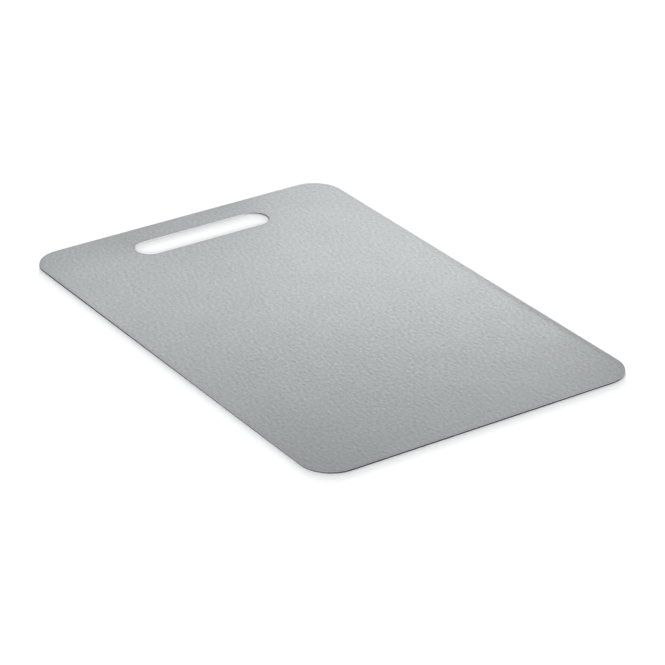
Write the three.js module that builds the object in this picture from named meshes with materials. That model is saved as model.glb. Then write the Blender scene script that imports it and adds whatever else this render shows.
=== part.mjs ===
// Stainless steel cutting board: one thin sheet with rounded corners and a hand slot near one end.
// Units are millimetres and +Z is up. The origin is the middle of the underside, and +Y points to the slot end.
import * as THREE from 'three';

// Driving dimensions of the sheet
const BOARD_LENGTH = 360;
const BOARD_WIDTH = 240;
const SHEET_THICKNESS = 1.2;
const CORNER_RADIUS = 22;

// Hand slot with round ends, lying across the board
const SLOT_LENGTH = 105;
const SLOT_WIDTH = 22;
// Strip of sheet between the slot and the end of the board
const SLOT_MARGIN = 20;

// Radius that deburring leaves on every cut edge
const EDGE_RADIUS = 0.25;

// Facets that stand in for the round stretches: an arc has twice ARC_STEPS
const ARC_STEPS = 8;
const EDGE_STEPS = 2;

// Satin steel
const STEEL_COLOUR = 0xb6b9ba;
const STEEL_ROUGHNESS = 0.42;
const STEEL_METALNESS = 1;

const QUARTER_TURN = Math.PI / 2;

// Rectangle centred on the origin with four corner arcs, drawn anticlockwise
function boardOutline() {
  const outline = new THREE.Shape();
  const cornerX = BOARD_WIDTH / 2 - CORNER_RADIUS;
  const cornerY = BOARD_LENGTH / 2 - CORNER_RADIUS;
  const corners = [[cornerX, cornerY], [-cornerX, cornerY], [-cornerX, -cornerY], [cornerX, -cornerY]];
  corners.forEach(([x, y], index) => {
    const start = index * QUARTER_TURN;
    outline.absarc(x, y, CORNER_RADIUS, start, start + QUARTER_TURN, false);
  });
  outline.closePath();
  return outline;
}

// Two half circles joined by straight sides, drawn clockwise as a hole
function slotOutline() {
  const outline = new THREE.Path();
  const endRadius = SLOT_WIDTH / 2;
  const endX = SLOT_LENGTH / 2 - endRadius;
  const centreY = BOARD_LENGTH / 2 - SLOT_MARGIN - endRadius;
  outline.absarc(endX, centreY, endRadius, QUARTER_TURN, -QUARTER_TURN, true);
  outline.absarc(-endX, centreY, endRadius, -QUARTER_TURN, -3 * QUARTER_TURN, true);
  outline.closePath();
  return outline;
}

function steelMaterial() {
  return new THREE.MeshStandardMaterial({
    color: STEEL_COLOUR,
    roughness: STEEL_ROUGHNESS,
    metalness: STEEL_METALNESS,
  });
}

// The sheet with its slot, every edge rounded inward so that the outline keeps its size
function cuttingPlate() {
  const outline = boardOutline();
  outline.holes.push(slotOutline());
  const geometry = new THREE.ExtrudeGeometry(outline, {
    depth: SHEET_THICKNESS - 2 * EDGE_RADIUS,
    curveSegments: ARC_STEPS,
    bevelEnabled: true,
    bevelThickness: EDGE_RADIUS,
    bevelSize: EDGE_RADIUS,
    bevelOffset: -EDGE_RADIUS,
    bevelSegments: EDGE_STEPS,
  });
  const plate = new THREE.Mesh(geometry, steelMaterial());
  plate.name = 'cutting_plate';
  plate.position.z = EDGE_RADIUS;
  return plate;
}

const board = new THREE.Group();
board.add(cuttingPlate());

export default board;
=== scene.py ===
# Stainless steel cutting board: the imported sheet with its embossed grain, cut edges and satin finish
import math

import bpy
import numpy as np
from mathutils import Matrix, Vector
from mathutils.geometry import delaunay_2d_cdt


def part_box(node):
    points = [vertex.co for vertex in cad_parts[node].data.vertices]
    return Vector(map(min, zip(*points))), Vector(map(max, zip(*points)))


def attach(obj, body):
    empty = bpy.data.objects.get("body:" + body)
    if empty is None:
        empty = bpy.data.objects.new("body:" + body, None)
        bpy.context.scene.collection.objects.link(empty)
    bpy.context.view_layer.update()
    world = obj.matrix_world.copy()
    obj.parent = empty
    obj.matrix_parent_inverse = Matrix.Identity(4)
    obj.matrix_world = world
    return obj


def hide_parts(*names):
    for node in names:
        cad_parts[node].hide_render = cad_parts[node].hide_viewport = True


MM = 0.001
QUARTER_TURN = math.pi / 2

# Node of the frame that this scene dresses
SHEET_NODE = "cutting_plate"

# Sizes of the solid that its box doesn't give
CORNER_RADIUS = 22 * MM
SLOT_LENGTH = 105 * MM
SLOT_WIDTH = 22 * MM
SLOT_MARGIN = 20 * MM
EDGE_RADIUS = 0.25 * MM

# Fineness of the mesh: steps across and along the grained face and the underside, then along the edges
GRAIN_STEPS = (0.95 * MM, 1.1 * MM)
UNDERSIDE_STEPS = (8 * MM, 8 * MM)
EDGE_STEP = 1.2 * MM
EDGE_ROUND_STEPS = 3
# A flat land beside each rounded edge, and the inset from the rim at which a face starts inside it
EDGE_LAND = 0.25 * MM
FACE_INSET = EDGE_RADIUS + EDGE_LAND
# Least room between the land and a point inside a face, in steps across
INNER_ROOM = 0.6
# Triangulation: points closer than this are one, and this kind of result keeps to the inside of the loops
SAME_POINT = 1e-9
INSIDE_LOOPS = 1

# Embossed grain: a random field of one main wavelength across the board and a longer one along it
GRAIN_SEED = 7
GRAIN_ACROSS = 3.9 * MM
GRAIN_ALONG = 6.0 * MM
GRAIN_SPREAD = 0.55
# Strength of its waves along the board, for 1 across it, and how sharply it grows towards across
GRAIN_CROSSING = 0.6
GRAIN_SHARPNESS = 4
# How far its strokes lean from the board's length
GRAIN_LEAN = math.radians(8)
GRAIN_DEPTH_RMS = 0.022 * MM
GRAIN_FADE = 0.8 * MM
GRAIN_FIELD_PITCH = 0.5 * MM
# Stands in for the rate of an even level, because 0 has no logarithm
LEAST_RATE = 1e-6
# Mesh layers that the steel's nodes read: height of the grain in rms, and distance to the nearer rim
GRAIN_LAYER = "grain_height"
EDGE_LAYER = "edge_distance"

# Finishes: each has its colours and its roughness at tones 0 and 1, and starts from the middle tone
MIDDLE = 0.5

# Patterns that sway the tone have sizes along X, Y and Z: first the mottling of the face and the underside
MOTTLE_SIZES = (28 * MM, 28 * MM, 28 * MM)
MOTTLE_DETAIL = 3
MOTTLE_SWAY = 0.25

# Grained face: from the grain's valleys, darker as painted shade, to its peaks, lighter as painted
# highlight, with fine flecks and a dull margin along the rims
GRAINED_COLOURS = ((0.449, 0.459, 0.465, 1), (0.632, 0.645, 0.653, 1))
GRAINED_ROUGHNESS = (0.43, 0.33)
GRAIN_PAINTED_SHADING_SWAY = 0.12
FLECK_SIZES = (1.4 * MM, 1.4 * MM, 1.4 * MM)
FLECK_DETAIL = 2
FLECK_DEPTH = 0.009 * MM
FLECK_SWAY = 1.3
DULL_WIDTH = 3.5 * MM
DULL_SWAY = -0.18
# Margins darkened and dulled as painted shade, by the side that they face: whole up to one depth from
# that side and gone at another, most at a place along the side, and gone at a reach from it
PAINTED_SHADE_MARGINS = (
    {"across": "X", "along": "Y", "side": 1, "depths": (3 * MM, 6.5 * MM),
     "place": -80 * MM, "reach": 150 * MM, "sway": -0.42},
    {"across": "X", "along": "Y", "side": -1, "depths": (10 * MM, 65 * MM),
     "place": -180 * MM, "reach": 90 * MM, "sway": -0.26},
    {"across": "Y", "along": "X", "side": 1, "depths": (15 * MM, 40 * MM),
     "place": -50 * MM, "reach": 65 * MM, "sway": -0.3},
)

# Underside: mill finish brushed along the sheet
BRUSHED_COLOURS = ((0.41, 0.422, 0.428, 1), (0.62, 0.632, 0.638, 1))
BRUSHED_ROUGHNESS = (0.40, 0.28)
BRUSH_SIZES = (0.55 * MM, 90 * MM, 0.55 * MM)
BRUSH_DETAIL = 3
BRUSH_DEPTH = 0.004 * MM
BRUSH_SWAY = 1.2

# Cut edges: sheared steel with marks across the thickness
CUT_ROUGHNESS = (0.58, 0.40)
SHEAR_SIZES = (0.5 * MM, 0.5 * MM, 4 * MM)
SHEAR_DETAIL = 2
SHEAR_DEPTH = 0.015 * MM

# Board's rim: near black as painted shade, and lighter near the grained face, where the cut is burnished
RIM_COLOURS = ((0.01, 0.01, 0.01, 1), (0.34, 0.345, 0.35, 1))
RIM_MARK_SWAY = 0.8
BURNISH_SWAY = 0.35
# Painted shade and light of the long sides at both ends of a span of their length; the short sides' is 0
PAINTED_SIDE_SHADE_SWAY = 0.6
PAINTED_SIDE_SHADE_ENDS = (-0.33, 1.0)
PAINTED_SIDE_SHADE_SPAN = (100 * MM, -60 * MM)

# Slot's walls: polished, painted light near white, fading over this length to painted shade at the +X end
SLOT_COLOURS = ((0.2, 0.2, 0.203, 1), (0.95, 0.957, 0.96, 1))
SLOT_MARK_SWAY = 0.3
SLOT_PAINTED_LIGHT_SWAY = 1.0
SLOT_PAINTED_SHADE_FADE = 14 * MM

# Camera: azimuth from -Y towards +X, a target on the grained face, and lens and sensor in millimetres
CAMERA_AZIMUTH = math.radians(-33.73)
CAMERA_ELEVATION = math.radians(27.08)
CAMERA_DISTANCE = 1.8873
CAMERA_TARGET = (-0.00935, -0.02656, 0.0012)
CAMERA_LENS = 158.51
CAMERA_SENSOR = 36.0

# Studio floor: matt white, just clear of the underside
FLOOR_SIZE = 16.0
FLOOR_DROP = 0.05 * MM
FLOOR_COLOUR = (0.905, 0.9, 0.904, 1)
FLOOR_ROUGHNESS = 1.0
FLOOR_GLOSS = 0.0

# Sky: strength at heights from the horizon, 0, to overhead, 1, and tint
SKY_STOPS = ((0.0, 0.645), (0.7, 0.261), (1.0, 0.552))
SKY_TINT = (0.975, 1.0, 1.0)

# Softboxes round the board, which light only the sheet: angles in degrees, then metres and radiance
LOW_STRIP = {
    "compass": 51.3, "elevation": 11.5, "distance": 0.449, "width": 0.4, "height": 0.12, "radiance": 0.69,
}
RAISED_STRIP = {
    "compass": 33.1, "elevation": 27.1, "distance": 0.4, "width": 0.457, "height": 0.12, "radiance": 0.865,
}
HIGH_PANEL = {
    "compass": 33.8, "elevation": 52.0, "distance": 0.55, "width": 0.42, "height": 0.2, "radiance": 0.8,
}
OVERHEAD_PANEL = {
    "compass": 303.8, "elevation": 74.0, "distance": 0.7, "width": 0.45, "height": 0.26, "radiance": 1.0,
}
# Those across from the camera and overhead stand as they are, and a set like them stands at each other side
FIXED_SOFTBOXES = (LOW_STRIP, RAISED_STRIP, OVERHEAD_PANEL)
TURNED_SOFTBOXES = (LOW_STRIP, RAISED_STRIP, HIGH_PANEL)
SOFTBOX_TURNS = (90.0, 180.0, 270.0)

# Suns that light only the floor, with angles in degrees: one from above, three behind that give the near
# edges their shade, and one in front that shades the floor inside the slot's near rim
FLOOR_SUNS = (
    {"name": "floor_wash", "compass": 0.0, "elevation": 90.0, "spread": 80.0, "strength": 0.62},
    {"name": "middle_sun", "compass": 33.7, "elevation": 20.0, "spread": 22.0, "strength": 1.48},
    {"name": "low_sun", "compass": 33.7, "elevation": 7.5, "spread": 7.0, "strength": 4.1},
    {"name": "grazing_sun", "compass": 33.7, "elevation": 1.5, "spread": 1.0, "strength": 24.0},
    {"name": "front_sun", "compass": 213.7, "elevation": 9.0, "spread": 10.0, "strength": 4.1},
)
# Where the suns stand, which doesn't change their light
SUN_DISTANCE = 1.0


def board_size():
    """Width, length and thickness of the solid."""
    low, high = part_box(SHEET_NODE)
    return tuple(b - a for a, b in zip(low, high))


def rounded_path(half_x, half_y, radius):
    """Centres of curvature and outward normals round a loop with round corners, anticlockwise from +X."""
    corners = np.array([(half_x, half_y), (-half_x, half_y), (-half_x, -half_y), (half_x, -half_y)])
    arc_steps = round(radius * QUARTER_TURN / EDGE_STEP)
    spine = []
    normals = []
    for index, corner in enumerate(corners):
        angles = (index + np.arange(arc_steps) / arc_steps) * QUARTER_TURN
        spine.append(np.tile(corner, (arc_steps, 1)))
        normals.append(np.column_stack((np.cos(angles), np.sin(angles))))
        run = corners[(index + 1) % len(corners)] - corner
        side_steps = round(math.hypot(*run) / EDGE_STEP)
        shares = np.arange(side_steps)[:, None] / max(side_steps, 1)
        end_angle = (index + 1) * QUARTER_TURN
        spine.append(corner + shares * run)
        normals.append(np.tile((math.cos(end_angle), math.sin(end_angle)), (side_steps, 1)))
    return np.concatenate(spine), np.concatenate(normals)


class Outline:
    """The board's rim and the slot's rim, as loops that can be moved into the material."""

    def __init__(self, width, length):
        self.rim_half = np.array((width / 2 - CORNER_RADIUS, length / 2 - CORNER_RADIUS))
        self.slot_radius = SLOT_WIDTH / 2
        self.slot_half = SLOT_LENGTH / 2 - self.slot_radius
        self.slot_centre = np.array((0.0, length / 2 - SLOT_MARGIN - self.slot_radius))
        self.rim_path = rounded_path(*self.rim_half, CORNER_RADIUS)
        self.slot_path = rounded_path(self.slot_half, 0.0, self.slot_radius)

    def rim(self, inset):
        """Points of the board's rim at an inset."""
        spine, normals = self.rim_path
        return spine + normals * (CORNER_RADIUS - inset)

    def slot(self, inset):
        """Points of the slot's rim at an inset."""
        spine, normals = self.slot_path
        return self.slot_centre + spine + normals * (self.slot_radius + inset)

    def depth(self, points):
        """How far points lie inside the material, from the nearer rim."""
        beyond = np.abs(points) - self.rim_half
        from_rim = np.hypot(*np.maximum(beyond, 0).T) + np.minimum(beyond.max(axis=1), 0) - CORNER_RADIUS
        offset = points - self.slot_centre
        along = np.maximum(np.abs(offset[:, 0]) - self.slot_half, 0)
        from_slot = np.hypot(along, offset[:, 1]) - self.slot_radius
        return np.minimum(-from_rim, from_slot)


def lattice(outline, width, length, step, row_step):
    """Triangular lattice of points inside the material, clear of both rims."""
    rows = np.arange(-length / 2, length / 2, row_step)
    points = []
    for index, y in enumerate(rows):
        xs = np.arange(-width / 2, width / 2, step) + (index % 2) * step / 2
        points.append(np.column_stack((xs, np.full(len(xs), y))))
    points = np.concatenate(points)
    return points[outline.depth(points) > FACE_INSET + INNER_ROOM * step]


def loop_edges(first, count):
    """Edges round a loop of points with numbers that follow each other."""
    return [(first + i, first + (i + 1) % count) for i in range(count)]


def triangulate(rim, slot, inner):
    """Triangles of the face between two loops, as numbers of rim, slot and inner points in that order."""
    rim_count = len(rim)
    loop_count = rim_count + len(slot)
    points = [Vector(point) for point in np.concatenate((rim, slot, inner))]
    edges = loop_edges(0, rim_count) + loop_edges(rim_count, len(slot))
    _, _, triangles, *_ = delaunay_2d_cdt(points, edges, [], INSIDE_LOOPS, SAME_POINT)
    faces = np.array(triangles)
    # The slot bulges outwards all round, so a triangle on its rim alone lies in the opening
    in_slot = ((faces >= rim_count) & (faces < loop_count)).all(axis=1)
    return faces[~in_slot]


def grain_field(width, length):
    """Heights of the grain on a square grid, with an rms of 1."""
    shape = (round(length / GRAIN_FIELD_PITCH), round(width / GRAIN_FIELD_PITCH))
    white = np.random.default_rng(GRAIN_SEED).standard_normal(shape)
    rate_y = np.fft.fftfreq(shape[0], GRAIN_FIELD_PITCH)[:, None]
    rate_x = np.fft.fftfreq(shape[1], GRAIN_FIELD_PITCH)[None, :]
    across = (rate_x * math.cos(GRAIN_LEAN) - rate_y * math.sin(GRAIN_LEAN)) * GRAIN_ACROSS
    along = (rate_x * math.sin(GRAIN_LEAN) + rate_y * math.cos(GRAIN_LEAN)) * GRAIN_ALONG
    rate = np.maximum(np.hypot(across, along), LEAST_RATE)
    band = np.exp(-(np.log(rate) / GRAIN_SPREAD) ** 2 / 2)
    band *= GRAIN_CROSSING + (1 - GRAIN_CROSSING) * (across / rate) ** GRAIN_SHARPNESS
    field = np.fft.ifft2(np.fft.fft2(white) * band).real
    return field / field.std()


def sample(field, points, width, length):
    """Field values at points, blended between the grid's four nearest."""
    column = (points[:, 0] + width / 2) / GRAIN_FIELD_PITCH
    row = (points[:, 1] + length / 2) / GRAIN_FIELD_PITCH
    low_column = np.floor(column).astype(int)
    low_row = np.floor(row).astype(int)
    share_x = column - low_column
    share_y = row - low_row
    rows, columns = field.shape
    total = np.zeros(len(points))
    for step_y, weight_y in ((0, 1 - share_y), (1, share_y)):
        for step_x, weight_x in ((0, 1 - share_x), (1, share_x)):
            values = field[(low_row + step_y) % rows, (low_column + step_x) % columns]
            total += values * weight_y * weight_x
    return total


def edge_profile(thickness):
    """Inset and height of each ring, from the upper face round the edge to the underside."""
    angles = np.linspace(0, QUARTER_TURN, EDGE_ROUND_STEPS + 1)
    inset = EDGE_RADIUS * (1 - np.sin(angles))
    drop = EDGE_RADIUS * (1 - np.cos(angles))
    upper = np.column_stack((np.append(FACE_INSET, inset), thickness - np.append(0, drop)))
    lower = np.column_stack((upper[:, 0], thickness - upper[:, 1]))[::-1]
    return np.concatenate((upper, lower))


def bands(rings, outward):
    """Quads between each ring and the next, with faces pointing out of the material."""
    faces = []
    for upper, lower in zip(rings, rings[1:]):
        quads = np.column_stack((upper, lower, np.roll(lower, -1), np.roll(upper, -1)))
        faces.append(quads if outward else quads[:, ::-1])
    return faces


class PointList:
    """Points of a mesh, numbered in the order in which they come."""

    def __init__(self):
        self.blocks = []
        self.count = 0

    def add(self, places, heights):
        """Takes in points and returns their numbers."""
        self.blocks.append(np.column_stack((places, np.broadcast_to(heights, len(places)))))
        numbers = np.arange(self.count, self.count + len(places))
        self.count += len(places)
        return numbers


def sheet_mesh():
    """The sheet as one closed mesh: points, faces by finish, and the layers that the steel's nodes read."""
    width, length, thickness = board_size()
    outline = Outline(width, length)
    top_inner = lattice(outline, width, length, *GRAIN_STEPS)
    under_inner = lattice(outline, width, length, *UNDERSIDE_STEPS)
    fade = np.clip((outline.depth(top_inner) - FACE_INSET) / GRAIN_FADE, 0, 1)
    grain = sample(grain_field(width, length), top_inner, width, length) * fade

    point_list = PointList()
    rim_rings = []
    slot_rings = []
    for inset, height in edge_profile(thickness):
        rim_rings.append(point_list.add(outline.rim(inset), height))
        slot_rings.append(point_list.add(outline.slot(inset), height))
    top_numbers = point_list.add(top_inner, thickness + grain * GRAIN_DEPTH_RMS)
    under_numbers = point_list.add(under_inner, 0.0)
    points = np.concatenate(point_list.blocks)

    loops = (outline.rim(FACE_INSET), outline.slot(FACE_INSET))
    top_map = np.concatenate((rim_rings[0], slot_rings[0], top_numbers))
    under_map = np.concatenate((rim_rings[-1], slot_rings[-1], under_numbers))
    faces = {
        "face": [top_map[triangulate(*loops, top_inner)]],
        "underside": [under_map[triangulate(*loops, under_inner)][:, ::-1]],
    }
    # The land and the upper rounding keep the face's finish, and the land below keeps the underside's
    face_bands = EDGE_ROUND_STEPS + 1
    for cut, rows in (("rim", bands(rim_rings, True)), ("slot", bands(slot_rings, False))):
        faces["face"] += rows[:face_bands]
        faces[cut] = rows[face_bands:-1]
        faces["underside"] += rows[-1:]

    heights = np.zeros(len(points))
    heights[top_numbers] = grain
    layers = {GRAIN_LAYER: heights, EDGE_LAYER: outline.depth(points[:, :2])}
    return points, faces, layers


def mesh_object(name, points, finishes, layers):
    """A smooth-shaded object from points, face blocks paired with materials, and layers of point values."""
    mesh = bpy.data.meshes.new(name)
    faces = []
    numbers = []
    for number, (blocks, material) in enumerate(finishes):
        mesh.materials.append(material)
        for block in blocks:
            faces += block.tolist()
            numbers += [number] * len(block)
    mesh.from_pydata(points.tolist(), [], faces)
    mesh.polygons.foreach_set("material_index", np.array(numbers, np.int32))
    mesh.polygons.foreach_set("use_smooth", np.ones(len(numbers), bool))
    for layer, values in layers.items():
        attribute = mesh.attributes.new(layer, "FLOAT", "POINT")
        attribute.data.foreach_set("value", values.astype(np.float32))
    mesh.update()
    obj = bpy.data.objects.new(name, mesh)
    bpy.context.scene.collection.objects.link(obj)
    return obj


def add_node(tree, kind, inputs=None, **settings):
    """A new node with its settings, and inputs that are values or other nodes' outputs."""
    node = tree.nodes.new(kind)
    for key, value in settings.items():
        setattr(node, key, value)
    for key, value in (inputs or {}).items():
        if isinstance(value, bpy.types.NodeSocket):
            tree.links.new(value, node.inputs[key])
        else:
            node.inputs[key].default_value = value
    return node


def new_material(name):
    """A material with a lone Principled shader, its node tree and that shader."""
    material = bpy.data.materials.new(name)
    material.use_nodes = True
    return material, material.node_tree, material.node_tree.nodes["Principled BSDF"]


def layer_value(tree, layer):
    """Output of a mesh layer."""
    return add_node(tree, "ShaderNodeAttribute", attribute_name=layer).outputs["Fac"]


def noise(tree, sizes, detail):
    """Output of a noise with features of about these sizes, in the part's own frame."""
    place = add_node(tree, "ShaderNodeTexCoord").outputs["Object"]
    stretch = tuple(1 / size for size in sizes)
    scaled = add_node(tree, "ShaderNodeMapping", {"Vector": place, "Scale": stretch}).outputs["Vector"]
    inputs = {"Vector": scaled, "Scale": 1.0, "Detail": detail}
    return add_node(tree, "ShaderNodeTexNoise", inputs).outputs["Fac"]


def remap(tree, value, span, result):
    """Output of a value moved from one span to another, and held within it."""
    inputs = {
        "Value": value,
        "From Min": span[0],
        "From Max": span[1],
        "To Min": result[0],
        "To Max": result[1],
    }
    return add_node(tree, "ShaderNodeMapRange", inputs).outputs["Result"]


def calculate(tree, operation, *values):
    """Output of an operation on numbers or other nodes' outputs."""
    return add_node(tree, "ShaderNodeMath", dict(enumerate(values)), operation=operation).outputs["Value"]


def place_axis(tree, axis):
    """Output of the distance along an axis, in the part's own frame."""
    place = add_node(tree, "ShaderNodeTexCoord").outputs["Object"]
    return add_node(tree, "ShaderNodeSeparateXYZ", {"Vector": place}).outputs[axis]


def weigh(tree, terms):
    """Output of a middle tone that each pattern sways by its distance from its own level."""
    total = MIDDLE - sum(sway * level for _, sway, level in terms)
    for value, sway, _ in terms:
        total = calculate(tree, "MULTIPLY_ADD", value, sway, total)
    return total


def between(tree, tone, dark, light):
    """Output of a colour between two, by tone."""
    node = add_node(tree, "ShaderNodeValToRGB", {"Fac": tone})
    node.color_ramp.elements[0].color = dark
    node.color_ramp.elements[1].color = light
    return node.outputs["Color"]


def finish_steel(tree, shader, tone, colours, roughness, height, depth):
    """Joins a tone and a relief to a metal shader."""
    tree.links.new(between(tree, tone, *colours), shader.inputs["Base Color"])
    tree.links.new(remap(tree, tone, (0, 1), roughness), shader.inputs["Roughness"])
    bump = add_node(tree, "ShaderNodeBump", {"Height": height, "Distance": depth})
    tree.links.new(bump.outputs["Normal"], shader.inputs["Normal"])
    shader.inputs["Metallic"].default_value = 1.0


def painted_margin_shade(tree, margin):
    """Output of the painted shade on a margin, 1 where it is strongest."""
    half = board_size()["XY".index(margin["across"])] / 2
    whole, gone = margin["depths"]
    outward = calculate(tree, "MULTIPLY", place_axis(tree, margin["across"]), margin["side"])
    across = remap(tree, outward, (half - gone, half - whole), (0, 1))
    offset = calculate(tree, "SUBTRACT", place_axis(tree, margin["along"]), margin["place"])
    along = remap(tree, calculate(tree, "ABSOLUTE", offset), (0, margin["reach"]), (1, 0))
    return calculate(tree, "MULTIPLY", across, along)


def grained_steel():
    """Embossed face: painted shade in valleys, painted highlight on peaks, a dull rim margin, painted shade
    on margins.
    """
    material, tree, shader = new_material("grained_steel")
    fleck = noise(tree, FLECK_SIZES, FLECK_DETAIL)
    dulled = remap(tree, layer_value(tree, EDGE_LAYER), (0, DULL_WIDTH), (1, 0))
    terms = [
        # The grain's height gives painted shade in its valleys and a painted highlight on its peaks
        (layer_value(tree, GRAIN_LAYER), GRAIN_PAINTED_SHADING_SWAY, 0),
        (noise(tree, MOTTLE_SIZES, MOTTLE_DETAIL), MOTTLE_SWAY, MIDDLE),
        (fleck, FLECK_SWAY, MIDDLE),
        (dulled, DULL_SWAY, 0),
    ]
    # Margins darkened as painted shade
    terms += [(painted_margin_shade(tree, margin), margin["sway"], 0) for margin in PAINTED_SHADE_MARGINS]
    tone = weigh(tree, terms)
    finish_steel(tree, shader, tone, GRAINED_COLOURS, GRAINED_ROUGHNESS, fleck, FLECK_DEPTH)
    return material


def brushed_steel():
    """Underside: fine lines along the sheet."""
    material, tree, shader = new_material("brushed_steel")
    lines = noise(tree, BRUSH_SIZES, BRUSH_DETAIL)
    terms = (
        (lines, BRUSH_SWAY, MIDDLE),
        (noise(tree, MOTTLE_SIZES, MOTTLE_DETAIL), MOTTLE_SWAY, MIDDLE),
    )
    tone = weigh(tree, terms)
    finish_steel(tree, shader, tone, BRUSHED_COLOURS, BRUSHED_ROUGHNESS, lines, BRUSH_DEPTH)
    return material


def painted_side_shade(tree):
    """Output of the painted shade and light on the rim, which changes along the long sides."""
    along = remap(tree, place_axis(tree, "Y"), PAINTED_SIDE_SHADE_SPAN, PAINTED_SIDE_SHADE_ENDS)
    outward = add_node(tree, "ShaderNodeTexCoord").outputs["Normal"]
    sideways = add_node(tree, "ShaderNodeSeparateXYZ", {"Vector": outward}).outputs["X"]
    return calculate(tree, "MULTIPLY", along, calculate(tree, "ABSOLUTE", sideways))


def cut_steel():
    """Sheared rim, darkened as painted shade: marks across the thickness, burnished near the grained face,
    painted shade along the long sides.
    """
    material, tree, shader = new_material("cut_steel")
    marks = noise(tree, SHEAR_SIZES, SHEAR_DETAIL)
    _, _, thickness = board_size()
    burnish = remap(tree, place_axis(tree, "Z"), (0, thickness), (0, 1))
    terms = (
        (marks, RIM_MARK_SWAY, MIDDLE),
        (burnish, BURNISH_SWAY, MIDDLE),
        # Painted shade and light along the long sides
        (painted_side_shade(tree), PAINTED_SIDE_SHADE_SWAY, MIDDLE),
    )
    tone = weigh(tree, terms)
    finish_steel(tree, shader, tone, RIM_COLOURS, CUT_ROUGHNESS, marks, SHEAR_DEPTH)
    return material


def slot_steel():
    """Slot's walls: marks across the thickness, polished with painted light, and painted shade round the +X
    end.
    """
    material, tree, shader = new_material("slot_steel")
    marks = noise(tree, SHEAR_SIZES, SHEAR_DETAIL)
    end = SLOT_LENGTH / 2
    # Painted light on the walls, fading to painted shade at the +X end
    painted_light = remap(tree, place_axis(tree, "X"), (end - SLOT_PAINTED_SHADE_FADE, end), (1, 0))
    terms = (
        (marks, SLOT_MARK_SWAY, MIDDLE),
        (painted_light, SLOT_PAINTED_LIGHT_SWAY, MIDDLE),
    )
    tone = weigh(tree, terms)
    finish_steel(tree, shader, tone, SLOT_COLOURS, CUT_ROUGHNESS, marks, SHEAR_DEPTH)
    return material


def make_sheet():
    """The sheet with its four finishes, which stands in for the frame's node."""
    points, faces, layers = sheet_mesh()
    finishes = (
        (faces["face"], grained_steel()),
        (faces["underside"], brushed_steel()),
        (faces["rim"], cut_steel()),
        (faces["slot"], slot_steel()),
    )
    sheet = mesh_object("grained_sheet", points, finishes, layers)
    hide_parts(SHEET_NODE)
    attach(sheet, "root")
    return sheet


def direction(compass, elevation):
    """Unit vector at a compass angle from +Y towards +X, and an elevation."""
    level = math.cos(elevation)
    return Vector((math.sin(compass) * level, math.cos(compass) * level, math.sin(elevation)))


def make_camera():
    """The camera, which looks at its target from its azimuth and elevation."""
    camera = bpy.data.objects.new("camera", bpy.data.cameras.new("camera"))
    back = direction(math.pi - CAMERA_AZIMUTH, CAMERA_ELEVATION)
    camera.location = Vector(CAMERA_TARGET) + back * CAMERA_DISTANCE
    camera.rotation_euler = (-back).to_track_quat("-Z", "Y").to_euler()
    camera.data.lens = CAMERA_LENS
    camera.data.sensor_width = CAMERA_SENSOR
    bpy.context.scene.collection.objects.link(camera)
    bpy.context.scene.camera = camera


def make_floor():
    """A large level floor."""
    half = FLOOR_SIZE / 2
    corners = [(-half, -half), (half, -half), (half, half), (-half, half)]
    mesh = bpy.data.meshes.new("floor")
    mesh.from_pydata([(x, y, -FLOOR_DROP) for x, y in corners], [], [(0, 1, 2, 3)])
    material, _, shader = new_material("floor")
    shader.inputs["Base Color"].default_value = FLOOR_COLOUR
    shader.inputs["Roughness"].default_value = FLOOR_ROUGHNESS
    shader.inputs["Specular IOR Level"].default_value = FLOOR_GLOSS
    mesh.materials.append(material)
    floor = bpy.data.objects.new("floor", mesh)
    bpy.context.scene.collection.objects.link(floor)
    return floor


def make_sky():
    """A soft sky, the same all round, dimmer halfway up than at the horizon and overhead."""
    world = bpy.data.worlds.new("sky")
    world.use_nodes = True
    tree = world.node_tree
    towards = add_node(tree, "ShaderNodeTexCoord").outputs["Generated"]
    height = add_node(tree, "ShaderNodeSeparateXYZ", {"Vector": towards}).outputs["Z"]
    ramp = add_node(tree, "ShaderNodeValToRGB", {"Fac": height})
    stops = ramp.color_ramp.elements
    while len(stops) < len(SKY_STOPS):
        stops.new(1.0)
    for stop, (position, strength) in zip(stops, SKY_STOPS):
        stop.position = position
        stop.color = tuple(strength * share for share in SKY_TINT) + (1,)
    tree.links.new(ramp.outputs["Color"], tree.nodes["Background"].inputs["Color"])
    bpy.context.scene.world = world


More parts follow.
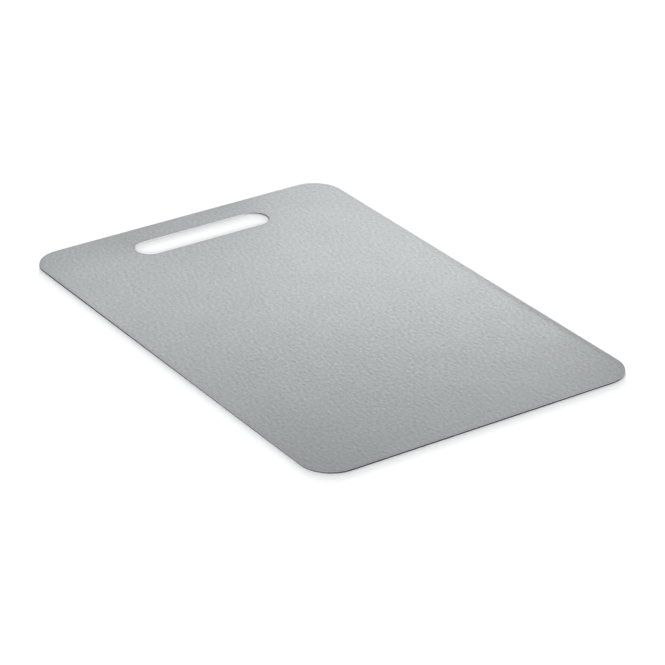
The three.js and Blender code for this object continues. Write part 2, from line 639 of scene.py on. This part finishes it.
def place_light(light, towards, distance):
    """An object for a light that shines on the board's middle from a direction."""
    obj = bpy.data.objects.new(light.name, light)
    obj.location = towards * distance
    obj.rotation_euler = (-towards).to_track_quat("-Z", "Y").to_euler()
    obj.visible_camera = False
    bpy.context.scene.collection.objects.link(obj)
    return obj


def light_only(light, obj):
    """Lets a light shine on one object alone, which other objects still shade."""
    receivers = bpy.data.collections.new(light.name + "_receivers")
    receivers.objects.link(obj)
    light.light_linking.receiver_collection = receivers


def make_softbox(box, turn, sheet):
    """A softbox whose reflection the sheet shows, turned round the board by some degrees."""
    area = bpy.data.lights.new("softbox", "AREA")
    area.shape = "RECTANGLE"
    area.size = box["width"]
    area.size_y = box["height"]
    area.energy = box["radiance"] * math.pi * box["width"] * box["height"]
    towards = direction(math.radians(box["compass"] + turn), math.radians(box["elevation"]))
    light_only(place_light(area, towards, box["distance"]), sheet)


def make_floor_sun(values, floor):
    """A soft sun for the floor, where the board's shade falls."""
    sun = bpy.data.lights.new(values["name"], "SUN")
    sun.energy = values["strength"]
    sun.angle = math.radians(values["spread"])
    towards = direction(math.radians(values["compass"]), math.radians(values["elevation"]))
    light_only(place_light(sun, towards, SUN_DISTANCE), floor)


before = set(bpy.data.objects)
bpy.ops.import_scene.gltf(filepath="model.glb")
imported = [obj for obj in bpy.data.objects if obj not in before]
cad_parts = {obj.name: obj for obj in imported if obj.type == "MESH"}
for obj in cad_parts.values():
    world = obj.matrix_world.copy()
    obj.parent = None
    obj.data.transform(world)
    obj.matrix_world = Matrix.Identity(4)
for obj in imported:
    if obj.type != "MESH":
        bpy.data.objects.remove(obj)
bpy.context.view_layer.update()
make_camera()
make_sky()
stage_floor = make_floor()
for floor_sun in FLOOR_SUNS:
    make_floor_sun(floor_sun, stage_floor)
steel_sheet = make_sheet()
for softbox in FIXED_SOFTBOXES:
    make_softbox(softbox, 0.0, steel_sheet)
for softbox_turn in SOFTBOX_TURNS:
    for softbox in TURNED_SOFTBOXES:
        make_softbox(softbox, softbox_turn, steel_sheet)
bpy.context.scene.view_settings.view_transform = "Standard"
